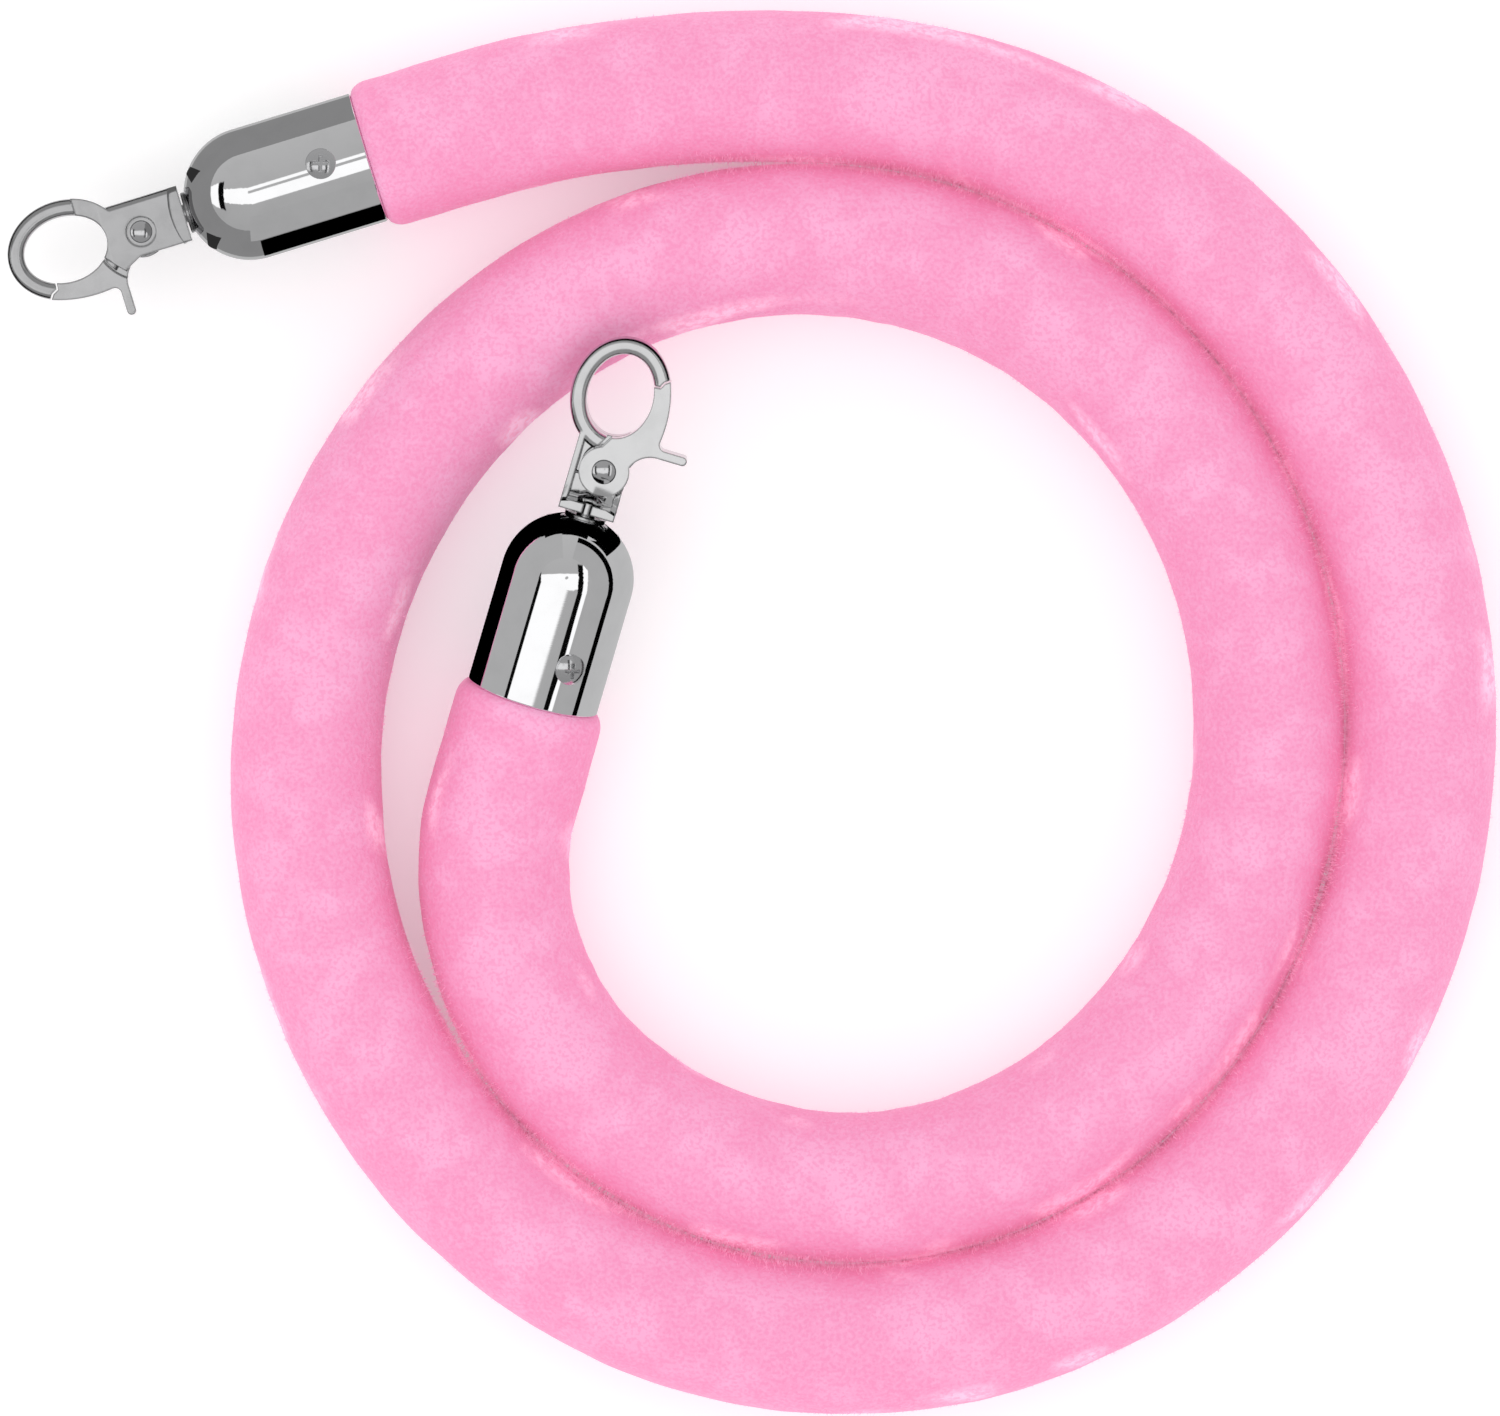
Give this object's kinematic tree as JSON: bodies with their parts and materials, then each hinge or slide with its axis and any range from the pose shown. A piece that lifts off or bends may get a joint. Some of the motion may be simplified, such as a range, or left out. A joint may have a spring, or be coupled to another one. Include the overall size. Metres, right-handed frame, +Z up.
{
  "type": "velvet barrier rope",
  "caption": "Padded velvet barrier rope lying in a loose coil, with a polished end cap and a swivelling trigger snap hook at each end.",
  "frame": {"origin": "on the floor under the middle of the whole coil", "axes": "+Z up from the floor, +X to the right and +Y away as the coil is seen from above, with end a at the upper left"},
  "size_m": [0.3176, 0.2995, 0.0386],
  "materials": {
    "velvet": "pink crushed velvet, short pile with soft sheen",
    "foam": "closed-cell foam",
    "cord": "braided polypropylene cord",
    "wood": "plain turned beech",
    "chrome_cap": "mirror polished steel",
    "chrome_hook": "polished die-cast zinc, plated",
    "chrome_gate": "polished die-cast zinc, plated",
    "screw_steel": "plated steel",
    "zinc_steel": "zinc plated steel",
    "spring_steel": "oiled spring wire"
  },
  "bodies": {
    "rope": {"velvet_sleeve": "velvet", "foam_core": "foam", "core_cord": "cord", "end_cap_a": "chrome_cap", "end_plug_a": "wood", "cap_screws_a": "screw_steel", "swivel_stud_a": "chrome_hook", "swivel_washer_a": "chrome_hook", "stud_washer_a": "zinc_steel", "stud_nut_a": "zinc_steel", "end_cap_b": "chrome_cap", "end_plug_b": "wood", "cap_screws_b": "screw_steel", "swivel_stud_b": "chrome_hook", "swivel_washer_b": "chrome_hook", "stud_washer_b": "zinc_steel", "stud_nut_b": "zinc_steel"},
    "hook_a": {"hook_body_a": "chrome_hook", "gate_rivet_a": "chrome_hook", "gate_spring_a": "spring_steel"},
    "gate_a": {"trigger_gate_a": "chrome_gate"},
    "hook_b": {"hook_body_b": "chrome_hook", "gate_rivet_b": "chrome_hook", "gate_spring_b": "spring_steel"},
    "gate_b": {"trigger_gate_b": "chrome_gate"}
  },
  "joints": [
    {"name": "swivel_a", "type": "hinge", "parent": "rope", "child": "hook_a", "pos_m": [-0.11955, 0.1058, 0.016], "axis": [-0.9563, -0.2924, 0], "continuous": true},
    {"name": "gate_a_hinge", "type": "hinge", "parent": "hook_a", "child": "gate_a", "pos_m": [-0.12973, 0.10149, 0.016], "axis": [0, 0, 1], "range_deg": [0, 26], "stiffness_Nm_per_rad": 0.02, "springref_deg": -28.65},
    {"name": "swivel_b", "type": "hinge", "parent": "rope", "child": "hook_b", "pos_m": [-0.03511, 0.04037, 0.02675], "axis": [0.2797, 0.9443, 0.1736], "continuous": true},
    {"name": "gate_b_hinge", "type": "hinge", "parent": "hook_b", "child": "gate_b", "pos_m": [-0.03093, 0.05043, 0.02866], "axis": [0.0493, 0.1665, -0.9848], "range_deg": [0, 26], "stiffness_Nm_per_rad": 0.02, "springref_deg": -28.65}
  ]
}
